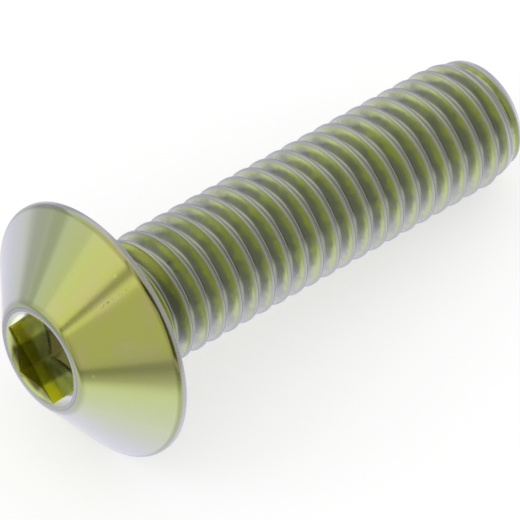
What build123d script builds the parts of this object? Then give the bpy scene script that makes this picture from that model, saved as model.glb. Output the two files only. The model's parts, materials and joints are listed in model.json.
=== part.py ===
"""Button head screw: one forged and rolled piece of plated steel, lying as it comes to rest.

The screw is drawn upright in its own frame: Z runs from the bearing face under the head
(z = 0) down the shank to the tip, and the head is on the negative side. The finished piece
is then laid on its rim and on its last full thread, on the plane z = 0, with the head
towards -X.
"""

import os
from math import atan2, ceil, cos, degrees, floor, radians, sin, sqrt, tan

from build123d import *

# ---------------------------------------------------------------- driving dimensions, mm

# Thread
thread_pitch = 1.25
thread_diameter = 7.84  # over the crests: M8, a little under its nominal size
thread_depth_ratio = 0.61343  # depth of an ISO metric external thread, in pitches
crest_flat_ratio = 1 / 8  # width of the flat on the crest, in pitches
thread_angle = 60.0
thread_start = 1.80  # bearing face to the first full root, on the upper side
neck_undercut = 0.41  # the plain neck under the head is this far inside the crests
neck_length = 1.10
neck_cone_length = 0.70  # from the neck up to the crests
run_out_length = 1.00  # in which the neck narrows to inside the roots

# Shank and tip
screw_length = 30.32  # under the head
point_length = 2.32  # stretch in which the thread runs down to the tip
point_taper_depth = 0.46  # from the crests in to the shoulder at the end of the taper
tip_chamfer_depth = 0.395  # from that shoulder in to the tip's flat face
tip_chamfer_length = 0.42

# Head
head_diameter = 15.94
head_height = 4.13
crown_ring_width = 0.38  # flat ring round the countersink
crown_edge_radius = 0.15
rim_band_height = 0.34
rim_bevel_height = 0.16
rim_bevel_width = 0.13
rim_edge_chamfer = 0.07  # between the rim and the bearing face
underhead_radius = 0.45

# Socket
socket_across_flats = 5.0
socket_depth = 2.42  # at the corners, where they meet the drilled bottom
socket_turn = 31.2  # a corner's angle from the upper side
drill_point_angle = 120.0
countersink_margin = 0.083  # by which it reaches past the hexagon's corners
countersink_angle = 120.0

# ---------------------------------------------------------------- derived dimensions

crest_radius = thread_diameter / 2
thread_depth = thread_depth_ratio * thread_pitch
root_radius = crest_radius - thread_depth
flank_run = thread_depth * tan(radians(thread_angle / 2))
crest_flat = crest_flat_ratio * thread_pitch
root_flat = thread_pitch - crest_flat - 2 * flank_run
neck_radius = crest_radius - neck_undercut
run_out_end = neck_length + run_out_length
run_out_radius = root_radius - thread_pitch / 8
point_start = screw_length - point_length
tip_chamfer_start = screw_length - tip_chamfer_length
shoulder_radius = crest_radius - point_taper_depth
tip_radius = shoulder_radius - tip_chamfer_depth
socket_corner_radius = socket_across_flats / sqrt(3)
countersink_radius = socket_corner_radius + countersink_margin
crown_radius = countersink_radius + crown_ring_width
head_radius = head_diameter / 2
cone_foot_radius = head_radius - rim_bevel_width
cone_foot_height = rim_band_height + rim_bevel_height

# The screw rests on the lower corner of its rim and on the crest that reaches lowest: the
# last one at full height, or the first one on the point. Crests cross the lower side at whole
# pitches after thread_start.
last_crest = floor((point_start + crest_flat / 2 - thread_start) / thread_pitch)
full_crest_end = min(point_start, thread_start + last_crest * thread_pitch + crest_flat / 2)
point_crest = thread_start + (last_crest + 1) * thread_pitch - crest_flat / 2
point_taper = point_taper_depth / (tip_chamfer_start - point_start)
point_crest_radius = crest_radius - (point_crest - point_start) * point_taper
slope = min(
    atan2(head_radius - crest_radius, full_crest_end + rim_edge_chamfer),
    atan2(head_radius - point_crest_radius, point_crest + rim_edge_chamfer),
)
axis_height = head_radius * cos(slope) - rim_edge_chamfer * sin(slope)

# Its ends along X, from the centre of the bearing face. The crown's rounded edge has its
# centre one radius below the crown, and in from the corner by what the rounding takes.
cone_lean = atan2(head_height - cone_foot_height, cone_foot_radius - crown_radius)
crown_edge_centre = crown_radius - crown_edge_radius * tan(cone_lean / 2)
head_end = (
    (head_height - crown_edge_radius) * cos(slope)
    + crown_edge_centre * sin(slope)
    + crown_edge_radius
)
tip_end = screw_length * cos(slope) + tip_radius * sin(slope)

lying_plane = Plane(
    origin=((head_end - tip_end) / 2, 0, axis_height),
    x_dir=(sin(slope), 0, cos(slope)),
    z_dir=(cos(slope), 0, -sin(slope)),
)

# ---------------------------------------------------------------- threaded rod

# One turn of thread is four strips, crest, flank, root and flank, each of them the surface
# between two helices. A rod of such turns is longer than the shank at both ends. There, where
# a crest begins on the upper side, a helicoid and a flat step close it.
rod_start = thread_start + (thread_pitch - crest_flat) / 2
rod_start -= thread_pitch * ceil(rod_start / thread_pitch + 1)
rod_turns = ceil((screw_length - rod_start) / thread_pitch + 1)


def thread_helix(radius, height):
    """One turn of a helix that starts on the upper side."""
    return Helix(thread_pitch, thread_pitch, radius, center=(0, 0, height))


turn_edges = [
    thread_helix(crest_radius, 0),
    thread_helix(crest_radius, crest_flat),
    thread_helix(root_radius, crest_flat + flank_run),
    thread_helix(root_radius, crest_flat + flank_run + root_flat),
    thread_helix(crest_radius, thread_pitch),
]
turn_faces = []
for lower_edge, upper_edge in zip(turn_edges, turn_edges[1:]):
    turn_faces.append(Face.make_surface_from_curves(edge1=lower_edge, edge2=upper_edge))

with BuildSketch(Plane.XZ) as rod_step:
    with BuildLine():
        Polyline(
            (0, 0),
            (crest_radius, 0),
            (crest_radius, crest_flat),
            (root_radius, crest_flat + flank_run),
            (root_radius, crest_flat + flank_run + root_flat),
            (crest_radius, thread_pitch),
            (0, thread_pitch),
            close=True,
        )
    make_face()
axis_line = Line((0, 0, 0), (0, 0, thread_pitch))
helicoid = Face.make_surface_from_curves(edge1=axis_line, edge2=turn_edges[0])
rod_end_faces = [helicoid, rod_step.sketch.face()]

rod_faces = []
for turn in range(rod_turns):
    turn_place = Pos(0, 0, rod_start + turn * thread_pitch)
    rod_faces.extend(face.moved(turn_place) for face in turn_faces)
for height in (rod_start, rod_start + rod_turns * thread_pitch):
    rod_faces.extend(face.moved(Pos(0, 0, height)) for face in rod_end_faces)
threaded_rod = Solid(Shell(Face.sew_faces(rod_faces)[0]))

# ---------------------------------------------------------------- neck and point

# What is kept of the rod: a plain neck, a short cone up to the crests, and at the tip a long
# taper with a short chamfer. Both cones run on until the outline stands clear of the crests.
outline_radius = crest_radius + thread_pitch / 16
neck_cone_end = neck_length + neck_cone_length * (outline_radius - neck_radius) / neck_undercut
taper_start = tip_chamfer_start - (outline_radius - shoulder_radius) / point_taper

with BuildPart() as shank_outline:
    with BuildSketch(Plane.XZ):
        with BuildLine():
            Polyline(
                (0, 0),
                (neck_radius, 0),
                (neck_radius, neck_length),
                (outline_radius, neck_cone_end),
                (outline_radius, taper_start),
                (shoulder_radius, tip_chamfer_start),
                (tip_radius, screw_length),
                (0, screw_length),
                close=True,
            )
        make_face()
    revolve(axis=Axis.Z)

# ---------------------------------------------------------------- head and neck

# Below the neck its core narrows to inside the roots, and the groove runs out on that cone.
with BuildPart() as head:
    with BuildSketch(Plane.XZ):
        with BuildLine():
            FilletPolyline(
                (0, -head_height),
                (crown_radius, -head_height),
                (cone_foot_radius, -cone_foot_height),
                (head_radius, -rim_band_height),
                (head_radius, -rim_edge_chamfer),
                (head_radius - rim_edge_chamfer, 0),
                (neck_radius, 0),
                (neck_radius, neck_length),
                (run_out_radius, run_out_end),
                (0, run_out_end),
                radius=[0, crown_edge_radius, 0, 0, 0, 0, underhead_radius, 0, 0, 0],
                close=True,
            )
        make_face()
    revolve(axis=Axis.Z)

# ---------------------------------------------------------------- socket

drill_slope = tan(radians(drill_point_angle / 2))
countersink_slope = tan(radians(countersink_angle / 2))
socket_mouth = -head_height
corner_bottom = socket_mouth + socket_depth
drill_tip = corner_bottom + socket_corner_radius / drill_slope
drill_reach = socket_corner_radius + crown_edge_radius  # a little past the corners
drill_edge = corner_bottom - crown_edge_radius / drill_slope
countersink_tip = socket_mouth + countersink_radius / countersink_slope

# A hexagonal punch that ends in the drill's cone, and the countersink at its mouth
with BuildPart() as socket_tool:
    with BuildSketch(Plane.XY.offset(socket_mouth)):
        RegularPolygon(socket_corner_radius, 6, rotation=socket_turn)
    extrude(amount=drill_tip - socket_mouth)
    with BuildSketch(Plane.XZ):
        with BuildLine():
            Polyline(
                (0, socket_mouth),
                (drill_reach, socket_mouth),
                (drill_reach, drill_edge),
                (0, drill_tip),
                close=True,
            )
        make_face()
    revolve(axis=Axis.Z, mode=Mode.INTERSECT)
    with BuildSketch(Plane.XZ):
        with BuildLine():
            Polyline(
                (0, socket_mouth),
                (countersink_radius, socket_mouth),
                (0, countersink_tip),
                close=True,
            )
        make_face()
    revolve(axis=Axis.Z)

# ---------------------------------------------------------------- the finished screw

with BuildPart(lying_plane) as button_head_screw:
    add(threaded_rod)
    add(shank_outline.part, mode=Mode.INTERSECT)
    add(head.part)
    add(socket_tool.part, mode=Mode.SUBTRACT)

os.makedirs("parts", exist_ok=True)
button_head_screw.part.label = "button_head_screw"
export_step(button_head_screw.part, "parts/button_head_screw.step")

box = button_head_screw.part.bounding_box()
print(f"volume {button_head_screw.part.volume:.1f} mm3, valid {button_head_screw.part.is_valid}")
print(f"solids {len(button_head_screw.part.solids())}, faces {len(button_head_screw.part.faces())}")
print(f"box {box.min} to {box.max}")
print(f"slope {degrees(slope):.2f} degrees, bearing face {axis_height:.3f} mm above the ground")
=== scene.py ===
# %% [markdown]
# # A plated button head screw
#
# A screw is one piece of steel, but it is made in three ways: the head is forged and turned,
# the socket is punched into it, and the thread is rolled between two dies. The lesson has a
# step for each. It builds one closed mesh in the screw's own upright frame, in millimetres, and
# lays it down at the end, where the CAD part lies. After that come the plating, the light and
# the camera.

# %% Load the CAD part
import json
from math import asin, atan2, ceil, cos, degrees, pi, radians, sin, sqrt, tan

import bmesh
import bpy
from mathutils import Matrix, Vector


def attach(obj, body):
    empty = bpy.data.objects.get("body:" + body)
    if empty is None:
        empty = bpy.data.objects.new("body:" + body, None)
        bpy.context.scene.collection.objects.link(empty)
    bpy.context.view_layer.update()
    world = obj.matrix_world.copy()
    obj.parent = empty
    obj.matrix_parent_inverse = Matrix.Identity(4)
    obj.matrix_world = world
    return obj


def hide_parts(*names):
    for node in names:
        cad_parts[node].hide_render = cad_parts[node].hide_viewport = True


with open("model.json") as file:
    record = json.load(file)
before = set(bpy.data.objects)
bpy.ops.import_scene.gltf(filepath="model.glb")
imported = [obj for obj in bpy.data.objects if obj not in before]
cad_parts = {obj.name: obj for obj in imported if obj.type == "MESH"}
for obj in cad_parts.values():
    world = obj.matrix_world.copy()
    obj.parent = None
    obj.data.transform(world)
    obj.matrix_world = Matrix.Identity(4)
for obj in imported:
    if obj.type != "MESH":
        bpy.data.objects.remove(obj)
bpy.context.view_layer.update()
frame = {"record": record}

# %% [markdown]
# ## Where the screw lies
#
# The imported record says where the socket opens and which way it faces. Everything else follows
# from those two vectors. The screw's own frame has Z along the shank, from the bearing face
# under the head to the tip, and X towards the upper side of the lying screw. A matrix that
# holds these axes lays the finished mesh down in one go.

# %% Read the screw's axis from the record
mm = 0.001
head_height = 4.13

mounts = {mount["name"]: mount for mount in frame["record"]["mounts"]}
socket_mount = mounts["hex_socket"]
shank_axis = -Vector(socket_mount["axis"]).normalized()
bearing_centre = Vector(socket_mount["pos_m"]) + shank_axis * head_height * mm
side_axis = Vector((0, -1, 0))
upper_axis = side_axis.cross(shank_axis)
lying = Matrix((
    (upper_axis.x, side_axis.x, shank_axis.x, bearing_centre.x),
    (upper_axis.y, side_axis.y, shank_axis.y, bearing_centre.y),
    (upper_axis.z, side_axis.z, shank_axis.z, bearing_centre.z),
    (0, 0, 0, 1),
))
slope = asin(-shank_axis.z)
print(f"axis slopes down by {degrees(slope):.2f} degrees, bearing face at {bearing_centre[:]}")

# %% [markdown]
# ## Sizes
#
# These are the sizes of the CAD part, in millimetres, and they are not changed here. A visual model
# that stands for a CAD solid has to keep its form, so they are not changed here. What this mesh
# adds is finer than the solid: the root of the thread is rounded, and the edges are broken. A
# height is measured from the bearing face, down the shank, so the head's heights come out negative.

# %% State the sizes
thread_pitch = 1.25
thread_depth = 0.61343 * thread_pitch  # as in every ISO metric thread
flank_angle = radians(30)
thread_start = 1.80
crest_radius = 3.92
crest_half = thread_pitch / 16
flank_run = thread_depth * tan(flank_angle)
root_radius = crest_radius - thread_depth
neck_radius = 3.51
neck_length = 1.10
neck_cone_end = 1.80
run_out_end = 2.10
run_out_radius = root_radius - thread_pitch / 8

screw_length = 30.32
point_start = 28.00
shoulder_length = 29.90
shoulder_radius = 3.46
tip_radius = 3.065

crown_height = -head_height
crown_radius = 3.35
cone_foot_radius = 7.84
cone_foot_height = -0.50
head_radius = 7.97
rim_band_height = -0.34
underhead_radius = 0.45

socket_corner_radius = 5.0 / sqrt(3)  # 5 mm across flats
socket_turn = radians(31.2)
corner_bottom = crown_height + 2.42
countersink_radius = 2.97
drill_slope = tan(radians(60))  # of the drilled bottom and of the countersink
print(f"roots at {root_radius:.3f} mm, crest flats {2 * crest_half:.3f} mm wide")

# %% [markdown]
# ## One pitch of thread, drawn as a line
#
# A rolled thread has straight flanks at 60 degrees to each other and a rounded root. The dies
# push the steel up from both sides, so the crest is a narrow flat with a shallow seam between
# two lips. The functions below give half a pitch, from the middle of a crest down to the middle
# of a root, as a row of stations. Near the tip the crest is cut lower, and there the same
# stations slide down the flanks.

# %% Describe the profile
root_rounding = (thread_pitch / 2 - crest_half - flank_run) / tan(flank_angle)
flank_foot = thread_pitch / 2 - root_rounding * cos(flank_angle)
seam_stations = ((0.0, 0.013), (0.45, 0.005), (0.74, 0.0))  # share of the half crest, depth
lip_width = 0.004
lip_drop = 0.006
flank_start = 0.014
flank_shares = (0.0, 0.12, 0.45, 0.80, 1.0)
root_turns = (radians(40), radians(20), 0.0)


def groove_height(offset):
    """Radius of the groove at a distance from the crest's middle: straight, then rounded."""
    if offset < flank_foot:
        return crest_radius - (offset - crest_half) / tan(flank_angle)
    return root_radius + root_rounding - sqrt(root_rounding ** 2 - (thread_pitch / 2 - offset) ** 2)


def half_profile(corner, top, seam=1.0):
    """Points (offset, radius) from the middle of the crest down to the middle of the root.

    corner is how far the crest reaches to this side, top gives its height at an offset, and
    seam scales the depth of the seam."""
    points = []
    for share, dip in seam_stations:
        points.append((corner * share, top(corner * share) - dip * seam))
    drop = lip_drop if corner < flank_foot else 0.0
    points.append((corner - lip_width, top(corner - lip_width) - drop))
    start = min(corner + flank_start, flank_foot)
    down_flank = [start + (flank_foot - start) * share for share in flank_shares]
    round_root = [thread_pitch / 2 - root_rounding * sin(turn) for turn in root_turns]
    for offset in down_flank + round_root:
        offset = max(offset, corner)
        points.append((offset, groove_height(offset)))
    return points


half = half_profile(crest_half, lambda offset: crest_radius)
print(f"{len(half)} stations on each side, root rounded to {root_rounding:.3f} mm")

# %% [markdown]
# ## Rolling the thread
#
# `bmesh.ops.spin` turns a profile about an axis, and its `dvec` lifts it a little at every
# step, which makes a screw surface. All turns are alike, so one is spun and the others are
# copies, each a pitch further up. Spinning them all in one go would give the same mesh, but
# every step costs more than the last. 144 steps a turn are a multiple of the socket's six
# corners, so the head can be spun with the same steps and welded on. Each vertex remembers its
# station in an integer layer, for the next step.

# %% Spin the profile up the shank
steps = 144
join_height = 0.95  # where the head is welded to the shank
lowest_crest = thread_start + thread_pitch * (0.5 + socket_turn / (2 * pi))
lowest_crest -= thread_pitch * ceil((lowest_crest + thread_pitch / 2 - join_height) / thread_pitch)
turns = ceil((screw_length + thread_pitch / 2 - lowest_crest) / thread_pitch) + 1

screw = bmesh.new()
station_layer = screw.verts.layers.int.new("station")


def spin_line(line, lift=0.0):
    """Spin a line of vertices once round the axis, from a socket corner, rising by lift."""
    edges = [screw.edges.new(pair) for pair in zip(line, line[1:])]
    to_corner = Matrix.Rotation(socket_turn, 3, "Z")
    bmesh.ops.rotate(screw, verts=line, cent=(0, 0, 0), matrix=to_corner)
    bmesh.ops.spin(
        screw, geom=line + edges, cent=(0, 0, 0), axis=(0, 0, 1), dvec=(0, 0, lift / steps),
        angle=2 * pi, steps=steps, use_merge=lift == 0,
    )


profile_line = []
for side in (-1, 1):
    order = range(len(half) - 1, 0, -1) if side < 0 else range(len(half))
    for station in order:
        offset, radius = half[station]
        vert = screw.verts.new((radius, 0, lowest_crest + side * offset))
        vert[station_layer] = side * station
        profile_line.append(vert)
spin_line(profile_line, lift=thread_pitch)
first_turn = screw.verts[:] + screw.edges[:] + screw.faces[:]
for turn in range(1, turns):
    copied = bmesh.ops.duplicate(screw, geom=first_turn)
    new_verts = [item for item in copied["geom"] if isinstance(item, bmesh.types.BMVert)]
    bmesh.ops.translate(screw, verts=new_verts, vec=(0, 0, turn * thread_pitch))
print(f"{turns} turns, {len(screw.verts)} vertices")

# %% [markdown]
# ## Run-out and point
#
# The groove doesn't stop short. Under the head its floor rises on a cone until it meets the
# neck, and at the tip the bar was turned to a taper before rolling, so the last crests are low
# and wide. Both ends are a matter of two outlines: one of the bar before rolling, which nothing
# reaches past, and one of the core, on which the groove runs out.

# %% Draw the two outlines
def along(z, *corners):
    """Radius at a height on a line through corners (z, radius), level past both its ends."""
    if z <= corners[0][0]:
        return corners[0][1]
    for (z0, r0), (z1, r1) in zip(corners, corners[1:]):
        if z <= z1:
            return r0 + (r1 - r0) * (z - z0) / (z1 - z0)
    return corners[-1][1]


def core_outline(z):
    """The neck's core, on which the groove runs out."""
    if z > run_out_end:
        return 0.0
    return along(z, (neck_length, neck_radius), (run_out_end, run_out_radius))


def bar_outline(z):
    """The bar before rolling: neck, shank and point."""
    if z < point_start:
        return along(z, (neck_length, neck_radius), (neck_cone_end, crest_radius))
    return along(z, (point_start, crest_radius), (shoulder_length, shoulder_radius),
                 (screw_length, tip_radius))


def crest_corner(middle, side):
    """How far a crest reaches to one side, where the groove meets the bar's outline.

    The place is found by halving the stretch that it must lie in, again and again."""
    near, far = crest_half, thread_pitch / 2
    if groove_height(near) <= bar_outline(middle + side * near) + 1e-9:
        return near
    for _ in range(30):
        offset = (near + far) / 2
        if groove_height(offset) > bar_outline(middle + side * offset):
            near = offset
        else:
            far = offset
    return near


print(f"crests at 29 mm reach {crest_corner(29, 1):.3f} mm to the tip's side")

# %% [markdown]
# Then every vertex is held between the two outlines. What lies past the two ends is drawn in to
# a ring, and merging doubles turns it into a single row of vertices there.

# %% Hold the thread between the outlines
weld_distance = 2e-4
shortest_edge = 1e-6
tip_join = screw_length - 0.09  # where the tip is welded to the shank, on the last chamfer


def weld():
    """Merge vertices in one place, and take out the edges of no length that this leaves."""
    bmesh.ops.remove_doubles(screw, verts=screw.verts, dist=weld_distance)
    bmesh.ops.dissolve_degenerate(screw, edges=screw.edges, dist=shortest_edge)


moved = 0
for vert in screw.verts:
    station = vert[station_layer]
    side = -1 if station < 0 else 1
    angle = atan2(vert.co.y, vert.co.x)
    middle = vert.co.z - side * half[abs(station)][0]
    z, radius = vert.co.z, sqrt(vert.co.x ** 2 + vert.co.y ** 2)
    if z > point_start - thread_pitch:
        corner = crest_corner(middle, side)
        seam = max(0.0, 1 - (corner - crest_half) / crest_half)
        shaped = half_profile(corner, lambda offset: bar_outline(middle + side * offset), seam)
        offset, radius = shaped[abs(station)]
        z = middle + side * offset
    radius = max(min(radius, bar_outline(z)), core_outline(z))
    if z < join_height:
        z, radius = join_height, neck_radius
    if z > tip_join:
        z, radius = tip_join, bar_outline(tip_join)
    place = Vector((radius * cos(angle), radius * sin(angle), z))
    moved += (place - vert.co).length > 1e-6
    vert.co = place
weld()
print(f"{moved} vertices moved, {len(screw.verts)} left")

# %% [markdown]
# ## Turning the head and the tip
#
# The head is a body of revolution, so its outline is drawn as one line, from the bottom of the
# socket round the rim to the neck, and spun through a full turn with the thread's own steps.
# `use_merge` closes the seam. The line's last point lies on the thread's first ring, so merging
# doubles welds head and shank into one skin. The flat face at the tip and the last of its
# chamfer are spun and welded on in the same way. The socket's two rings are still round here
# and stand a little inside the hexagon.

# %% Spin the head and the tip
bottom_ring = (2.20, corner_bottom)
mouth_ring = (2.40, crown_height + 0.2)
head_outline = [
    (0.0, corner_bottom + socket_corner_radius / drill_slope),
    bottom_ring,
    mouth_ring,
    (countersink_radius, crown_height),
    (crown_radius, crown_height),
    (cone_foot_radius, cone_foot_height),
    (head_radius, rim_band_height),
    (head_radius, 0.0),
    (neck_radius, 0.0),
    (neck_radius, join_height),
]
tip_outline = [
    (0.0, screw_length),
    (tip_radius - 0.35, screw_length),
    (tip_radius, screw_length),
    (bar_outline(tip_join), tip_join),
]
for outline in (head_outline, tip_outline):
    spin_line([screw.verts.new((radius, 0, z)) for radius, z in outline])
weld()
print(f"head, shank and tip: {len(screw.verts)} vertices")

# %% [markdown]
# ## Punching the socket
#
# A hexagonal punch has been driven into a countersunk, drilled hole. The two rings that were
# spun for the wall are pushed out onto the hexagon: the lower one to the height of the drill's
# cone, the upper one to the height of the countersink. Because both cones are wider at the
# corners, the edges come out as the six shallow arcs of the real socket.

# %% Push the socket's rings onto the hexagon
ring_tolerance = 2e-3


def hexagon_radius(angle):
    """Distance from the axis to the hexagon's side at an angle."""
    off_flat = (angle - socket_turn) % radians(60) - radians(30)
    return socket_corner_radius * cos(radians(30)) / cos(off_flat)


def on_ring(vert, radius, z):
    """Whether a vertex lies on the ring at a radius and height."""
    from_axis = sqrt(vert.co.x ** 2 + vert.co.y ** 2)
    return abs(from_axis - radius) < ring_tolerance and abs(vert.co.z - z) < ring_tolerance


bottom_verts = {vert for vert in screw.verts if on_ring(vert, *bottom_ring)}
mouth_verts = {vert for vert in screw.verts if on_ring(vert, *mouth_ring)}
for ring_verts, cone_radius, cone_height in (
    (bottom_verts, socket_corner_radius, corner_bottom),
    (mouth_verts, countersink_radius, crown_height),
):
    for vert in ring_verts:
        angle = atan2(vert.co.y, vert.co.x)
        wall = hexagon_radius(angle)
        z = cone_height + (cone_radius - wall) / drill_slope
        vert.co = (wall * cos(angle), wall * sin(angle), z)
print(f"{len(bottom_verts)} vertices round the bottom, {len(mouth_verts)} round the mouth")

# %% [markdown]
# ## Which way is out
#
# Spinning can leave a skin inside out, and metal shades wrongly then, so all normals are worked
# out again now that the skin is closed. An open edge here would mean that a weld had failed, and
# the screw would look hollow from that side.

# %% Turn the skin right side out
bmesh.ops.recalc_face_normals(screw, faces=screw.faces)
print(f"open edges: {sum(not edge.is_manifold for edge in screw.edges)}")
print(f"volume {screw.calc_volume(signed=True):.1f} mm3")

# %% [markdown]
# ## Breaking the edges
#
# No edge on a plated screw is knife sharp, and it is the small rounding that catches the light.
# `bmesh.ops.bevel` rounds one group of edges at a time, each to its own width: those of the
# socket, then ring by ring the edges of the head, the fillet under it and the tip.

# %% Bevel the edges
def ring_edges(radius, z):
    """Edges that run round the axis at a radius and height."""
    return [edge for edge in screw.edges if all(on_ring(end, radius, z) for end in edge.verts)]


def round_off(name, edges, width, segments):
    """Round a group of edges."""
    bmesh.ops.bevel(
        screw, geom=edges, offset=width, offset_type="OFFSET", segments=segments,
        profile=0.5, affect="EDGES", material=-1, clamp_overlap=True,
    )
    print(f"{name}: {len(edges)} edges rounded by {width} mm")


socket_edges = []
for edge in screw.edges:
    ends = set(edge.verts)
    along_wall = ends <= bottom_verts or ends <= mouth_verts
    up_wall = len(ends & bottom_verts) == 1 and len(ends & mouth_verts) == 1
    if along_wall or (up_wall and edge.calc_face_angle(0.0) > radians(20)):
        socket_edges.append(edge)
round_off("socket", socket_edges, 0.04, 2)
for name, radius, z, width, segments in (
    ("countersink", countersink_radius, crown_height, 0.03, 2),
    ("crown", crown_radius, crown_height, 0.22, 5),
    ("foot of the cone", cone_foot_radius, cone_foot_height, 0.05, 2),
    ("rim", head_radius, rim_band_height, 0.10, 3),
    ("bearing face", head_radius, 0.0, 0.07, 3),
    ("fillet", neck_radius, 0.0, underhead_radius, 6),
    ("tip", tip_radius, screw_length, 0.06, 2),
):
    round_off(name, ring_edges(radius, z), width, segments)

# %% [markdown]
# ## Laying the screw down
#
# The mesh is finished in its upright frame. The matrix from the first step turns and shifts it
# to where the CAD part lies, and scales it from millimetres to metres. The place goes into the
# vertices, so the object itself stays at the origin.

# %% Make the object
bmesh.ops.transform(screw, matrix=lying @ Matrix.Scale(mm, 4), verts=screw.verts)
for face in screw.faces:
    face.smooth = True
screw_mesh = bpy.data.meshes.new("plated_screw")
screw.to_mesh(screw_mesh)
screw.free()
plated_screw = bpy.data.objects.new("plated_screw", screw_mesh)
bpy.context.scene.collection.objects.link(plated_screw)
weighting = plated_screw.modifiers.new("weighted_normals", "WEIGHTED_NORMAL")
weighting.keep_sharp = True
triangles = sum(len(polygon.vertices) - 2 for polygon in screw_mesh.polygons)
print(f"plated_screw: {triangles} triangles")
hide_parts("button_head_screw")
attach(plated_screw, "root")

# %% [markdown]
# ## Helpers for node trees
#
# The finish changes along the thread: crests, flanks and roots each have their own colour. In a
# material such a place is a mask, a number that is 1 there and 0 elsewhere, and a mask is worked
# out by a chain of small nodes. The functions below each add a few nodes, link them and give
# their output, so that a mask can be written almost like a formula. The last one starts a node
# group, which packs such a chain into one node.

# %% Define helpers for masks
def link_math(tree, operation, *values, clamp=False):
    """A Math node fed by sockets or numbers."""
    node = tree.nodes.new("ShaderNodeMath")
    node.operation = operation
    node.use_clamp = clamp
    for place, value in zip(node.inputs, values):
        if isinstance(value, (int, float)):
            place.default_value = value
        else:
            tree.links.new(value, place)
    return node.outputs[0]


def link_product(tree, product, *others):
    """The product of two or more sockets or numbers. For masks it is where all of them are 1."""
    for other in others:
        product = link_math(tree, "MULTIPLY", product, other)
    return product


def link_step(tree, value, start, end, low=0.0, high=1.0):
    """A smooth step from low at start to high at end."""
    node = tree.nodes.new("ShaderNodeMapRange")
    node.interpolation_type = "SMOOTHSTEP"
    for name, number in (("From Min", start), ("From Max", end), ("To Min", low), ("To Max", high)):
        node.inputs[name].default_value = number
    tree.links.new(value, node.inputs["Value"])
    return node.outputs["Result"]


def link_band(tree, value, low_edge, high_edge):
    """1 between two edges and 0 past them. Each edge is given as (where it is 0, where it is 1)."""
    return link_product(tree, link_step(tree, value, *low_edge), link_step(tree, value, *high_edge))


def new_group(name, inputs, outputs):
    """A shader node group with named sockets, and its two end nodes."""
    tree = bpy.data.node_groups.new(name, "ShaderNodeTree")
    for socket_name, kind in inputs:
        tree.interface.new_socket(socket_name, in_out="INPUT", socket_type=kind)
    for socket_name, kind in outputs:
        tree.interface.new_socket(socket_name, in_out="OUTPUT", socket_type=kind)
    return tree, tree.nodes.new("NodeGroupInput"), tree.nodes.new("NodeGroupOutput")


NUMBER, COLOUR, VECTOR = "NodeSocketFloat", "NodeSocketColor", "NodeSocketVector"

# %% [markdown]
# ## Finding a place on the screw from inside a material
#
# A material knows nothing of crests, but it can work them out. Object coordinates are turned
# back to the upright frame by a Mapping node, which holds the inverse of the matrix that laid
# the screw down. The distance from the axis, the height and the angle round it follow, and from
# them the depth below the crests and the offset from the middle of the nearest one. All this is
# a node group, so that the film's own group can take it as one node.

# %% Build the group that finds places on the screw
places, _, places_end = new_group(
    "places_on_the_screw", [],
    [("Upright", VECTOR), ("Radius", NUMBER), ("Height", NUMBER), ("Angle", NUMBER),
     ("Depth", NUMBER), ("Offset", NUMBER), ("On Shank", NUMBER), ("On Tip", NUMBER)],
)
coordinates = places.nodes.new("ShaderNodeTexCoord")
stand_up = places.nodes.new("ShaderNodeMapping")
turn_back = lying.to_3x3().transposed()
stand_up.inputs["Scale"].default_value = (1 / mm, 1 / mm, 1 / mm)
stand_up.inputs["Rotation"].default_value = turn_back.to_euler()
stand_up.inputs["Location"].default_value = -(turn_back @ bearing_centre) / mm
places.links.new(coordinates.outputs["Object"], stand_up.inputs["Vector"])
axes = places.nodes.new("ShaderNodeSeparateXYZ")
places.links.new(stand_up.outputs["Vector"], axes.inputs["Vector"])
x, y, z = axes.outputs
radius = link_math(places, "SQRT", link_math(
    places, "ADD", link_product(places, x, x), link_product(places, y, y)
))
turned = link_math(places, "ARCTAN2", y, x)
past_shank = link_math(places, "MAXIMUM", link_math(places, "SUBTRACT", z, point_start), 0.0)
point_slope = (crest_radius - shoulder_radius) / (shoulder_length - point_start)
crest_here = link_math(
    places, "SUBTRACT", crest_radius, link_product(places, past_shank, point_slope)
)
along_helix = link_math(
    places, "SUBTRACT", link_math(places, "SUBTRACT", z, thread_start + thread_pitch / 2),
    link_product(places, turned, thread_pitch / (2 * pi)),
)
past_head = link_step(places, z, 0.6, 0.9)
before_tip = link_step(places, z, screw_length - 0.01, screw_length - 0.05)
for name, socket in (
    ("Upright", stand_up.outputs["Vector"]), ("Radius", radius), ("Height", z), ("Angle", turned),
    ("Depth", link_math(places, "SUBTRACT", crest_here, radius)),
    ("Offset", link_math(places, "WRAP", along_helix, thread_pitch / 2, -thread_pitch / 2)),
    ("On Shank", link_product(places, past_head, before_tip)),
    ("On Tip", link_math(places, "SUBTRACT", 1.0, before_tip)),
):
    places.links.new(socket, places_end.inputs[name])
print("mapping back by", [round(degrees(value), 2) for value in turn_back.to_euler()], "degrees")

# %% [markdown]
# ## Clouds, patches and grain
#
# The bath never lays a film down evenly. Three noises break up what would be too even: one as
# wide as a few threads, for clouds, one as wide as a flank, for patches, and one as fine as the
# grain. They are read in the upright frame, in millimetres, and the second group starts here.

# %% Start the film's group
film_tree, film_start, film_end = new_group(
    "film_colour",
    [("Face Colour", COLOUR), ("Thread Colour", COLOUR), ("Crest Colour", COLOUR),
     ("Lip Colour", COLOUR), ("Root Colour", COLOUR)],
    [("Color", COLOUR), ("Crest", NUMBER), ("Grain", NUMBER), ("Shade", NUMBER),
     ("On Shank", NUMBER), ("On Tip", NUMBER), ("Dent", NUMBER), ("First Flank Highlight", NUMBER),
     ("Valley", NUMBER)],
)
here = film_tree.nodes.new("ShaderNodeGroup")
here.node_tree = places
height, radius, turned = (here.outputs[name] for name in ("Height", "Radius", "Angle"))
offset, on_shank = here.outputs["Offset"], here.outputs["On Shank"]


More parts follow.
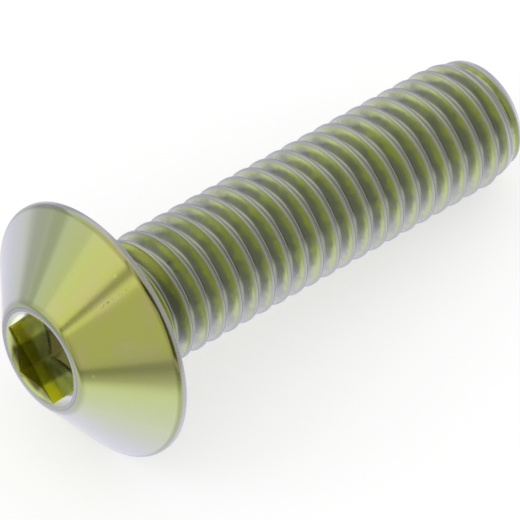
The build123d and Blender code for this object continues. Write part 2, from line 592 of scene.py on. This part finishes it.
def link_noise(tree, scale, detail, roughness=0.5):
    """A Noise texture in millimetres of the upright frame. Gives its value."""
    node = tree.nodes.new("ShaderNodeTexNoise")
    node.inputs["Scale"].default_value = scale
    node.inputs["Detail"].default_value = detail
    node.inputs["Roughness"].default_value = roughness
    tree.links.new(here.outputs["Upright"], node.inputs["Vector"])
    return node.outputs["Fac"]


cloud = link_noise(film_tree, 0.45, 2.0)
patches = link_noise(film_tree, 1.3, 2.0, 0.6)
grain = link_noise(film_tree, 9.0, 3.0, 0.6)
ragged = link_math(film_tree, "MULTIPLY_ADD", grain, 0.05, -0.025)
depth = link_math(film_tree, "ADD", here.outputs["Depth"], ragged)
print(f"{film_tree.name}: {len(film_tree.interface.items_tree)} sockets")

# %% [markdown]
# ## Where the film is thick
#
# Crests, the crown's lip and the rim get most of the film and turn lilac-grey. This cell finds
# them by depth, radius and height. The first ridge under the head is only half rolled, so the
# crests' colour starts after it.

# %% Find the crests, the lip and the rim
crests_from = (3.05, 3.30)
crest_end = (0.11, 0.05)  # offset past the crest's middle
crest_foot = (0.17, 0.09)  # depth below the crest
crest_band = link_product(
    film_tree, link_step(film_tree, height, *crests_from), link_step(film_tree, depth, *crest_foot),
    link_step(film_tree, offset, *crest_end),
)
crown_band = link_product(
    film_tree, link_step(film_tree, height, crown_height + 0.11, crown_height + 0.03),
    link_band(film_tree, radius, (countersink_radius - 0.03, countersink_radius + 0.02),
              (crown_radius - 0.04, crown_radius - 0.16)),
)
rim_edge = link_step(film_tree, radius, cone_foot_radius - 0.14, cone_foot_radius + 0.02)
band_start = (rim_band_height - 0.06, rim_band_height + 0.04)
rim_band = link_product(film_tree, rim_edge, link_step(film_tree, height, *band_start))
crest = link_math(
    film_tree, "ADD", crest_band, link_math(film_tree, "ADD", crown_band, rim_band), clamp=True
)
print("crest colour from height", crests_from, "mm")

# %% [markdown]
# ## The film's colours
#
# Flanks are yellow-green near the crest and grey-green towards the root, where they are also
# darker: partly the film's colour, partly painted shade of the root. The border between them
# wanders with the clouds and patches, and the crests are greener in some of them. Just under the
# head the first flank has a painted highlight, a bright yellow spot. The socket took a deeper
# yellow than the faces.

# %% Mix the colours
warm_yellow = (0.57, 0.54, 0.19, 1)
# Colour of the painted highlight on the first flank.
bright_yellow = (0.95, 0.97, 0.34, 1)


def link_mix(tree, share, first, second):
    """A colour Mix node fed by sockets, colours or a share."""
    node = tree.nodes.new("ShaderNodeMix")
    node.data_type = "RGBA"
    for place, value in ((0, share), (6, first), (7, second)):
        if isinstance(value, (int, float, tuple)):
            node.inputs[place].default_value = value
        else:
            tree.links.new(value, node.inputs[place])
    return node.outputs[2]


def link_spot(spot_height, spot_angle, tall, wide, softness=0.5):
    """1 in an oval at a height and an angle in degrees, 0 outside. Its half sizes are in mm."""
    off_angle = link_math(film_tree, "SUBTRACT", turned, radians(spot_angle))
    up = link_math(film_tree, "SUBTRACT", height, spot_height)
    up = link_math(film_tree, "DIVIDE", up, tall)
    across = link_math(film_tree, "DIVIDE", link_product(film_tree, radius, off_angle), wide)
    reach = link_math(film_tree, "SQRT", link_math(
        film_tree, "ADD", link_product(film_tree, up, up), link_product(film_tree, across, across)
    ))
    return link_step(film_tree, reach, 1.0, 1.0 - softness)


patched = link_math(film_tree, "MULTIPLY_ADD", patches, 0.9, link_math(
    film_tree, "MULTIPLY_ADD", cloud, 0.5, depth
))
# Where valley is 1 the flank turns grey-green and darker: partly the film's colour, partly painted
# shade of the root.
valley = link_product(film_tree, on_shank, link_step(film_tree, patched, 0.88, 1.24))
# Painted highlight: a bright yellow spot on the first flank under the head.
first_flank_highlight = link_product(
    film_tree, link_spot(3.50, -4, 0.42, 2.5, 0.6), link_step(film_tree, height, 3.08, 3.28)
)
face_tint = link_mix(film_tree, link_step(film_tree, cloud, 0.42, 0.62),
                     film_start.outputs["Face Colour"], warm_yellow)
tint = link_mix(film_tree, on_shank, face_tint, film_start.outputs["Thread Colour"])
tint = link_mix(film_tree, valley, tint, film_start.outputs["Root Colour"])
tint = link_mix(film_tree, first_flank_highlight, tint, bright_yellow)
crest_tint = link_mix(film_tree, link_step(film_tree, patches, 0.42, 0.58),
                      film_start.outputs["Crest Colour"], film_start.outputs["Lip Colour"])
crest_tint = link_mix(film_tree, crest_band, film_start.outputs["Lip Colour"], crest_tint)
tint = link_mix(film_tree, crest, tint, crest_tint)
print(f"{film_tree.name}: {len(film_tree.nodes)} nodes with its colours")

# %% [markdown]
# ## Dark roots, seams and edges
#
# Painted shade darkens the roots of the thread and the seam along each crest all round, and the
# deeper part of the flanks and the strip behind each crest's far edge mostly on one side of the
# shank. The neck has a painted shadow of the head, and the bevel round the rim and the rounding
# outside the crown's lip each have a dark line of painted shade. These shades are one number, which
# scales the colour of every layer: where a mask in the list is 1, it multiplies the number by its
# factor. A factor over 1 makes the place paler.

# %% Shade the thread and the edges
def link_shades(shade, *masks_and_factors):
    """Multiply the shade by each factor where its mask is 1."""
    for mask, factor in masks_and_factors:
        scale = link_math(film_tree, "MULTIPLY_ADD", mask, factor - 1, 1.0)
        shade = link_product(film_tree, shade, scale)
    return shade


# Painted shade: the deeper flanks and the strip behind each crest's far edge, mostly on one side of
# the shank, and the roots all round.
shaded_to = (radians(96), radians(84))
deep_side = link_band(film_tree, turned, (radians(-38), radians(-14)), shaded_to)
deep = link_product(film_tree, link_step(film_tree, depth, 0.14, 0.46), deep_side, on_shank)
root = link_product(film_tree, on_shank, link_step(film_tree, depth, 0.64, 0.75))
edge_side = link_band(film_tree, turned, (radians(-52), radians(-30)), shaded_to)
far_edge = link_product(
    film_tree, link_band(film_tree, offset, (0.02, 0.06), (0.30, 0.16)), edge_side, on_shank
)
# Painted shade in the seam along each crest.
off_middle = link_math(film_tree, "ABSOLUTE", offset)
seam = link_product(film_tree, crest_band, link_step(film_tree, off_middle, 0.045, 0.015))
# Painted shade: a dark line on the bevel round the rim.
bevel = link_product(film_tree, rim_edge, link_step(film_tree, height, *reversed(band_start)))
# Painted shade: a dark line on the rounding outside the crown's lip.
outside_lip = link_product(
    film_tree, link_step(film_tree, height, crown_height + 1.13, crown_height + 0.73),
    link_band(film_tree, radius, (crown_radius - 0.21, crown_radius - 0.13),
              (crown_radius + 0.40, crown_radius + 0.10)),
)
# Painted shadow of the head on the neck and the first groove.
neck = link_product(film_tree, on_shank, link_step(film_tree, height, 3.40, 3.00))
shade = link_shades(
    link_math(film_tree, "MULTIPLY_ADD", grain, 0.10, 0.95),
    (on_shank, 1.01), (deep, 0.85), (root, 0.96), (far_edge, 0.62), (seam, 0.50),
    (first_flank_highlight, 1.20), (neck, 0.62), (bevel, 0.72), (rim_band, 0.90), (crown_band, 0.76),
    (outside_lip, 0.78),
)

# %% [markdown]
# ## The blind socket
#
# The colour inside the socket carries painted light and shade. The walls are made paler as a whole,
# and painted shade darkens the corner towards 212 degrees, the drilled bottom and the walls below a
# slanted line, where a dark reflection is painted. Three cosines of the angle round the axis give
# these places: one for the corner, one for the slant of the line, and one that makes the walls a
# little darker on one side and paler on the other, which is painted shade too.

# %% Shade the socket
socket_yellow = (0.58, 0.52, 0.13, 1)
reflection_line_height = -4.784  # where the slanted line's plane crosses the axis
reflection_line_slant = 0.6013  # how far the plane falls over one millimetre


def link_towards(direction):
    """1 in a direction round the axis, in degrees, and -1 in the opposite one."""
    return link_math(film_tree, "COSINE", link_math(
        film_tree, "SUBTRACT", turned, radians(direction)
    ))


# Painted light: the whole socket is made paler by in_socket's factor in the list below.
in_socket = link_product(
    film_tree, link_step(film_tree, radius, countersink_radius + 0.05, countersink_radius - 0.04),
    link_band(film_tree, height, (crown_height + 0.06, crown_height + 0.20), (1.0, 0.5)),
)
# Painted shade: the walls a little darker on one side and paler on the other.
dark_side = link_product(film_tree, in_socket, link_towards(123))
# Painted shade in the corner towards 212 degrees.
shaded_corner = link_product(film_tree, in_socket, link_step(film_tree, link_towards(212), 0.80, 0.88))
# Painted shade on the drilled bottom.
bottom = link_product(
    film_tree, in_socket, link_step(film_tree, height, corner_bottom - 0.04, corner_bottom + 0.04)
)
# Painted dark reflection on the walls below a slanted line.
slanted = link_product(film_tree, radius, reflection_line_slant, link_towards(33.5))
slant_plane = link_math(film_tree, "ADD", height, slanted)
dark_reflection_line = link_product(
    film_tree, in_socket, link_step(film_tree, slant_plane, reflection_line_height, reflection_line_height - 0.1)
)
shade = link_shades(shade, (in_socket, 1.50), (dark_side, 0.83), (shaded_corner, 0.38), (bottom, 0.45),
                    (dark_reflection_line, 0.40))
tint = link_mix(film_tree, in_socket, tint, socket_yellow)
print(f"{film_tree.name}: {len(film_tree.nodes)} nodes with its shades")

# %% [markdown]
# ## Wear
#
# A screw out of a box has knocked against others. This one has four small dark nicks on the
# thread, a dotted scratch down the cone and two pale scuffs. Each has its own place, given by
# the height or the radius and the angle in the upright frame. They darken the film or make it
# paler, and the nicks are dents as well.

# %% Add nicks, the scratch and the scuffs
nicks = (  # height, angle, half height and half width
    (4.10, 10, 0.09, 0.10), (4.20, 22, 0.07, 0.08), (3.80, 2, 0.06, 0.07), (25.20, -24, 0.10, 0.12),
)
scuffs = ((4.09, 68, 0.08, 0.16), (7.09, 17, 0.08, 0.13))  # the same, with a radius first
scratch_angle = 24.8
dent = 0.0
for nick in nicks:
    dent = link_math(film_tree, "ADD", dent, link_spot(*nick), clamp=True)
shade = link_shades(shade, (dent, 0.35))
cone_rise = (crown_height - cone_foot_height) / (crown_radius - cone_foot_radius)
for scuff_radius, *scuff_rest in scuffs:
    scuff_height = crown_height + (scuff_radius - crown_radius) * cone_rise
    shade = link_shades(shade, (link_spot(scuff_height, *scuff_rest), 1.22))
off_scratch = link_product(film_tree, radius, link_math(
    film_tree, "ABSOLUTE", link_math(film_tree, "SUBTRACT", turned, radians(scratch_angle))
))
scratch = link_product(
    film_tree, link_step(film_tree, off_scratch, 0.09, 0.03),
    link_band(film_tree, radius, (5.3, 5.5), (7.4, 7.2)),
    link_step(film_tree, link_noise(film_tree, 5.0, 1.0), 0.50, 0.58),
    link_step(film_tree, height, -0.3, -0.5),
)
shade = link_shades(shade, (scratch, 0.72))
print(f"{len(nicks)} nicks, {len(scuffs)} scuffs and a scratch")

# %% [markdown]
# The group is closed by linking what it gives to its last node. The colour goes out already
# shaded, and the shade goes out by itself as well, for the layers whose colour the material
# mixes.

# %% Close the film's group
def link_scale(tree, colour, factor):
    """A colour multiplied by a number."""
    node = tree.nodes.new("ShaderNodeVectorMath")
    node.operation = "SCALE"
    tree.links.new(colour, node.inputs[0])
    tree.links.new(factor, node.inputs["Scale"])
    return node.outputs["Vector"]


for name, socket in (
    ("Color", link_scale(film_tree, tint, shade)), ("Crest", crest), ("Grain", grain),
    ("Shade", shade), ("On Shank", on_shank), ("On Tip", here.outputs["On Tip"]),
    ("Dent", dent), ("First Flank Highlight", first_flank_highlight), ("Valley", valley),
):
    film_tree.links.new(socket, film_end.inputs[name])
print(f"{film_tree.name}: {len(film_tree.nodes)} nodes in all")

# %% [markdown]
# ## Plating
#
# The steel is zinc plated and passivated. The film is so thin that its colour comes from
# interference, so it shifts with the angle at which it is seen: yellow head on, then greener,
# and lilac at a low angle, as on a pearl. That is a matter of gloss. Three shaders share the
# surface, each with its own colour, and all of them have the same roughness and bump.

# %% Make the three layers
plating = bpy.data.materials.new("yellow_green_plating")
plating.use_nodes = True
tree = plating.node_tree
film = tree.nodes["Principled BSDF"]
green_gloss = tree.nodes.new("ShaderNodeBsdfPrincipled")
lilac_gloss = tree.nodes.new("ShaderNodeBsdfPrincipled")
colours = tree.nodes.new("ShaderNodeGroup")
colours.node_tree = film_tree
for name, colour in (
    ("Face Colour", (0.55, 0.56, 0.135, 1)), ("Thread Colour", (0.62, 0.68, 0.24, 1)),
    ("Crest Colour", (0.50, 0.52, 0.36, 1)), ("Lip Colour", (0.51, 0.50, 0.44, 1)),
    ("Root Colour", (0.47, 0.50, 0.36, 1)),
):
    colours.inputs[name].default_value = colour
tree.links.new(colours.outputs["Color"], film.inputs["Base Color"])

face_green = (0.53, 0.61, 0.25, 1)
flank_green = (0.58, 0.65, 0.27, 1)
valley_grey = (0.40, 0.43, 0.33, 1)
crest_grey = (0.50, 0.51, 0.46, 1)
pale_lilac = (0.66, 0.64, 0.82, 1)
# The two bright colours below paint the first flank's highlight into both gloss layers.
bright_green = (0.93, 0.97, 0.36, 1)  # both bright ones are for the first flank
bright_cream = (0.95, 0.97, 0.62, 1)
# valley_grey is darker than the flank's green: partly the film's colour, partly painted shade of
# the root.
green = link_mix(tree, colours.outputs["Valley"], flank_green, valley_grey)
green = link_mix(tree, colours.outputs["On Shank"], face_green, green)
green = link_mix(tree, colours.outputs["First Flank Highlight"], green, bright_green)
green = link_mix(tree, colours.outputs["Crest"], green, crest_grey)
lilac = link_mix(tree, colours.outputs["First Flank Highlight"], pale_lilac, bright_cream)
for shader, colour in ((green_gloss, green), (lilac_gloss, lilac)):
    tree.links.new(link_scale(tree, colour, colours.outputs["Shade"]), shader.inputs["Base Color"])
print(f"{plating.name}: colours of three layers")

# %% [markdown]
# Crests, shank and tip are rougher than the head, which was turned. The bump is the grain of
# the coating, strongest on the crests, and the nicks.

# %% Roughen and bump the plating
roughness = link_math(tree, "MULTIPLY_ADD", colours.outputs["Grain"], 0.06, 0.10)
for name, more in (("Crest", 0.14), ("On Shank", 0.13), ("On Tip", 0.20)):
    roughness = link_math(tree, "MULTIPLY_ADD", colours.outputs[name], more, roughness)
grain_height = link_math(tree, "MULTIPLY_ADD", colours.outputs["Crest"], 0.7, 0.04)
bumps = link_product(tree, colours.outputs["Grain"], grain_height)
bump = tree.nodes.new("ShaderNodeBump")
bump.inputs["Strength"].default_value = 0.6
bump.inputs["Distance"].default_value = 0.02 * mm
tree.links.new(link_math(tree, "SUBTRACT", bumps, colours.outputs["Dent"]), bump.inputs["Height"])
for shader in (film, green_gloss, lilac_gloss):
    shader.inputs["Metallic"].default_value = 1.0
    tree.links.new(roughness, shader.inputs["Roughness"])
    tree.links.new(bump.outputs["Normal"], shader.inputs["Normal"])
print(f"bump of {bump.inputs['Distance'].default_value / mm:.3f} mm")

# %% [markdown]
# One Layer Weight node says how far the surface is turned away, and two Map Range nodes make a
# share of it for each fade. A Mix Shader takes two shaders only, so the fade is made in two
# steps: the first goes from yellow to green, the second from that to lilac.

# %% Fade from layer to layer
facing = tree.nodes.new("ShaderNodeLayerWeight")
facing.inputs["Blend"].default_value = 0.5
surface = film.outputs["BSDF"]
for layer, fade_start, fade_end in ((green_gloss, 0.03, 0.32), (lilac_gloss, 0.10, 0.95)):
    fade = tree.nodes.new("ShaderNodeMixShader")
    share = link_step(tree, facing.outputs["Facing"], fade_start, fade_end)
    tree.links.new(share, fade.inputs["Fac"])
    tree.links.new(surface, fade.inputs[1])
    tree.links.new(layer.outputs["BSDF"], fade.inputs[2])
    surface = fade.outputs["Shader"]
tree.links.new(surface, tree.nodes["Material Output"].inputs["Surface"])
screw_mesh.materials.append(plating)
print(f"{plating.name}: {len(tree.nodes)} nodes")

# %% [markdown]
# ## Floor
#
# The floor is plain paper, wide enough to fill every view. Paper that is lit to pure white is hard
# to keep from clipping, so it is painted mid grey and lifted by a weak glow that only the camera,
# metal and glass see. The light that falls on the screw isn't changed by that, and the soft shadow
# under the screw is kept.

# %% Make the floor
def stage_object(name, builder):
    """Turn a bmesh into an object in the scene."""
    mesh = bpy.data.meshes.new(name)
    builder.to_mesh(mesh)
    builder.free()
    made = bpy.data.objects.new(name, mesh)
    bpy.context.scene.collection.objects.link(made)
    return made


def link_seen(tree):
    """1 for rays that come from the camera, or by way of metal or glass."""
    light_path = tree.nodes.new("ShaderNodeLightPath")
    mirrored = link_math(tree, "ADD", light_path.outputs["Is Glossy Ray"],
                         light_path.outputs["Is Transmission Ray"])
    return link_math(tree, "ADD", light_path.outputs["Is Camera Ray"], mirrored, clamp=True)


floor_grey = 0.55
floor_glow = 0.54
floor_builder = bmesh.new()
bmesh.ops.create_grid(floor_builder, x_segments=1, y_segments=1, size=0.6)
floor = stage_object("floor", floor_builder)
floor_paint = bpy.data.materials.new("floor_paint")
floor_paint.use_nodes = True
floor_tree = floor_paint.node_tree
paint = floor_tree.nodes["Principled BSDF"]
paint.inputs["Base Color"].default_value = (floor_grey, floor_grey, floor_grey, 1)
paint.inputs["Roughness"].default_value = 0.9
paint.inputs["Specular IOR Level"].default_value = 0.0
paint.inputs["Emission Color"].default_value = (1, 1, 1, 1)
lift = link_product(floor_tree, link_seen(floor_tree), floor_glow)
floor_tree.links.new(lift, paint.inputs["Emission Strength"])
floor.data.materials.append(floor_paint)
print("floor:", floor.dimensions[:])

# %% [markdown]
# ## World
#
# The room is a white light tent. Metal has no colour of its own to show in a dark room: all
# that it shows is what it mirrors, so most of the light here is the tent itself. It is exactly
# white where the camera or metal sees it and a little weaker as a light.

# %% Make the world
tent_light = 0.85
world = bpy.data.worlds.new("light_tent")
bpy.context.scene.world = world
world.use_nodes = True
tent_tree = world.node_tree
tent = tent_tree.nodes["Background"]
tent.inputs["Color"].default_value = (1, 1, 1, 1)
tent_level = link_math(
    tent_tree, "MULTIPLY_ADD", link_seen(tent_tree), 1 - tent_light, tent_light
)
tent_tree.links.new(tent_level, tent.inputs["Strength"])
bpy.context.scene.view_settings.view_transform = "Standard"
print("world:", world.name)

# %% [markdown]
# ## Grey cards
#
# In a tent that is white all round, a polished cone would look flat. In a studio grey cards are
# hung where the metal mirrors them. Each card here is a strip of a cylinder round the screw,
# given by compass and height angles. The camera doesn't see the cards and they cast no shadow
# and take no light away: only mirrored rays find them. The largest hangs behind the camera, a
# narrow dark one leaves the sharp line down the cone, and two nearly black ones, under and
# beside the camera, draw the dark lines along the rim's bevel and on the thread.

# %% Hang the cards
def leave_to_metal(made):
    """Hide an object from all but mirrored rays."""
    made.visible_camera = False
    made.visible_diffuse = False
    made.visible_shadow = False


def glowing_paper(name):
    """A material that only glows, with its tree and its Emission node."""
    paper = bpy.data.materials.new(name)
    paper.use_nodes = True
    paper_tree = paper.node_tree
    paper_tree.nodes.remove(paper_tree.nodes["Principled BSDF"])
    glow = paper_tree.nodes.new("ShaderNodeEmission")
    paper_end = paper_tree.nodes["Material Output"]
    paper_tree.links.new(glow.outputs["Emission"], paper_end.inputs["Surface"])
    return paper, paper_tree, glow


def hang_card(name, azimuths, elevations, grey, distance):
    """A card from one azimuth to another and between two elevations, in degrees."""
    builder = bmesh.new()
    edge_line = [
        builder.verts.new((distance, 0, distance * tan(radians(elevation))))
        for elevation in elevations
    ]
    edge = builder.edges.new(edge_line)
    to_start = Matrix.Rotation(radians(azimuths[0]), 3, "Z")
    bmesh.ops.rotate(builder, verts=edge_line, cent=(0, 0, 0), matrix=to_start)
    sweep = azimuths[1] - azimuths[0]
    bmesh.ops.spin(
        builder, geom=edge_line + [edge], cent=(0, 0, 0), axis=(0, 0, 1),
        angle=radians(sweep), steps=max(2, ceil(sweep / 6)), use_merge=sweep == 360,
    )
    card = stage_object(name, builder)
    leave_to_metal(card)
    paper, _, glow = glowing_paper(name)
    glow.inputs["Color"].default_value = (grey, grey, grey, 1)
    card.data.materials.append(paper)
    print(f"{name}: {sweep} degrees wide, grey {grey}")


# Name, azimuths, elevations, grey and distance in metres
hang_card("card_behind_camera", (-177, 30), (-1, 78), 0.65, 0.90)
hang_card("card_far_left", (30, 126), (-1, 20), 0.55, 0.90)
hang_card("card_left", (126, 142), (-1, 34), 0.82, 0.90)
hang_card("card_gap", (171, 177), (-1, 70), 0.40, 0.85)
hang_card("card_under_camera", (-137, -90), (-2, 60), 0.12, 0.80)
hang_card("card_beside_camera", (-164, -137), (37, 60), 0.06, 0.80)
hang_card("card_horizon", (-180, 180), (-1, 4), 0.62, 0.50)

# %% [markdown]
# ## Mat
#
# The lower half of the screw mirrors the floor. Near the screw the paper is bright, and further
# out it falls off, most of all towards the camera and a little behind the head. The mat is a
# ring on the floor with a hole for the screw. It too is left to mirrored rays only.

# %% Lay the mat
mat_radius = 0.5
hole_length = 0.024
hole_width = 0.014
mat_lift = 0.0002  # keeps it clear of the floor
mat_builder = bmesh.new()
bmesh.ops.create_circle(mat_builder, cap_ends=False, segments=64, radius=mat_radius)
inner = bmesh.ops.extrude_edge_only(mat_builder, edges=mat_builder.edges[:])
inner_verts = [item for item in inner["geom"] if isinstance(item, bmesh.types.BMVert)]
to_hole = (hole_length / mat_radius, hole_width / mat_radius, 1)
bmesh.ops.scale(mat_builder, vec=to_hole, verts=inner_verts)
bmesh.ops.translate(mat_builder, vec=(0, 0, mat_lift), verts=mat_builder.verts)
mat = stage_object("mat", mat_builder)
leave_to_metal(mat)
mat_paper, mat_tree, mat_glow = glowing_paper("mat_paper")
mat.data.materials.append(mat_paper)
print("mat:", len(mat.data.polygons), "faces")

# %% [markdown]
# Its glow is a product of three soft steps, each at a distance from a centre of its own.

# %% Shade the mat
mat_place = mat_tree.nodes.new("ShaderNodeTexCoord")


def link_distance_step(centre, start, end, low, high):
    """A smooth step over the distance from a centre, in metres."""
    node = mat_tree.nodes.new("ShaderNodeVectorMath")
    node.operation = "DISTANCE"
    mat_tree.links.new(mat_place.outputs["Object"], node.inputs[0])
    node.inputs[1].default_value = centre
    return link_step(mat_tree, node.outputs["Value"], start, end, low, high)


mat_level = link_product(
    mat_tree, link_distance_step((0, 0, 0), 0.040, 0.080, 0.98, 0.58),
    link_distance_step((-0.075, -0.055, 0), 0.045, 0.062, 0.60, 1.0),
    link_distance_step((-0.018, 0.032, 0), 0.020, 0.034, 0.86, 1.0),
)
mat_tree.links.new(mat_level, mat_glow.inputs["Strength"])
print("mat_paper:", len(mat_tree.nodes), "nodes")

# %% [markdown]
# ## Lamp
#
# One large soft box adds a direction to the light and draws the soft shadow. Metal would see it
# as a second white on top of the tent, and clip, so the box is hidden from mirrored rays.

# %% Hang the lamp
lamp_level = 0.6
lamp_distance = 0.8
lamp_azimuth, lamp_elevation = radians(153), radians(38)
lamp_data = bpy.data.lights.new("soft_box", "AREA")
lamp_data.shape = "RECTANGLE"
lamp_data.size = 0.45
lamp_data.size_y = 0.7
lamp_data.energy = lamp_level * pi * lamp_data.size * lamp_data.size_y
lamp = bpy.data.objects.new("soft_box", lamp_data)
bpy.context.scene.collection.objects.link(lamp)
lamp.visible_glossy = False
lamp_way = Vector((
    cos(lamp_elevation) * cos(lamp_azimuth), cos(lamp_elevation) * sin(lamp_azimuth),
    sin(lamp_elevation),
))
lamp.location = lamp_distance * lamp_way
lamp.rotation_euler = lamp_way.to_track_quat("Z", "Y").to_euler()
print(f"soft_box: {lamp_data.energy:.2f} W at {lamp.location[:]}")

# %% [markdown]
# ## Camera
#
# The camera looks down on the screw past its head. It is given by what it sees: the direction
# of the shank in the view, where the centre of the bearing face is, and how far the view is
# raised above the floor. In a view X goes to the right, Y down and Z away from the camera. The
# view's axes in the scene follow from those, as the shank slopes down by a known angle. A long
# lens keeps the lines of the thread nearly parallel.

# %% Place the camera
shank_in_view = Vector((0.74748, -0.41866, 0.51575)).normalized()
bearing_in_view = Vector((-9.41, 3.92, 428.55)) * mm
view_elevation = radians(51.5)
lens_length = 521.425  # in millimetres, as is the sensor's width
sensor_width = 36

up_in_view = Vector((0, -cos(view_elevation), -sin(view_elevation)))
x_in_view = (shank_in_view + sin(slope) * up_in_view) / cos(slope)
x_in_view.normalize()
y_in_view = up_in_view.cross(x_in_view)
turn = Matrix((x_in_view, y_in_view, up_in_view))
camera_place = bearing_centre - turn @ bearing_in_view
camera_data = bpy.data.cameras.new("camera")
camera_data.sensor_width = sensor_width
camera_data.lens = lens_length
camera_data.clip_start = 0.01
camera = bpy.data.objects.new("camera", camera_data)
scene = bpy.context.scene
scene.collection.objects.link(camera)
to_blender_view = Matrix(((1, 0, 0), (0, -1, 0), (0, 0, -1)))  # Y up, Z towards the camera
camera_turn = (turn @ to_blender_view).to_4x4()
camera.matrix_world = Matrix.Translation(camera_place) @ camera_turn
scene.camera = camera
print("camera at", camera_place[:], "determinant", turn.determinant())
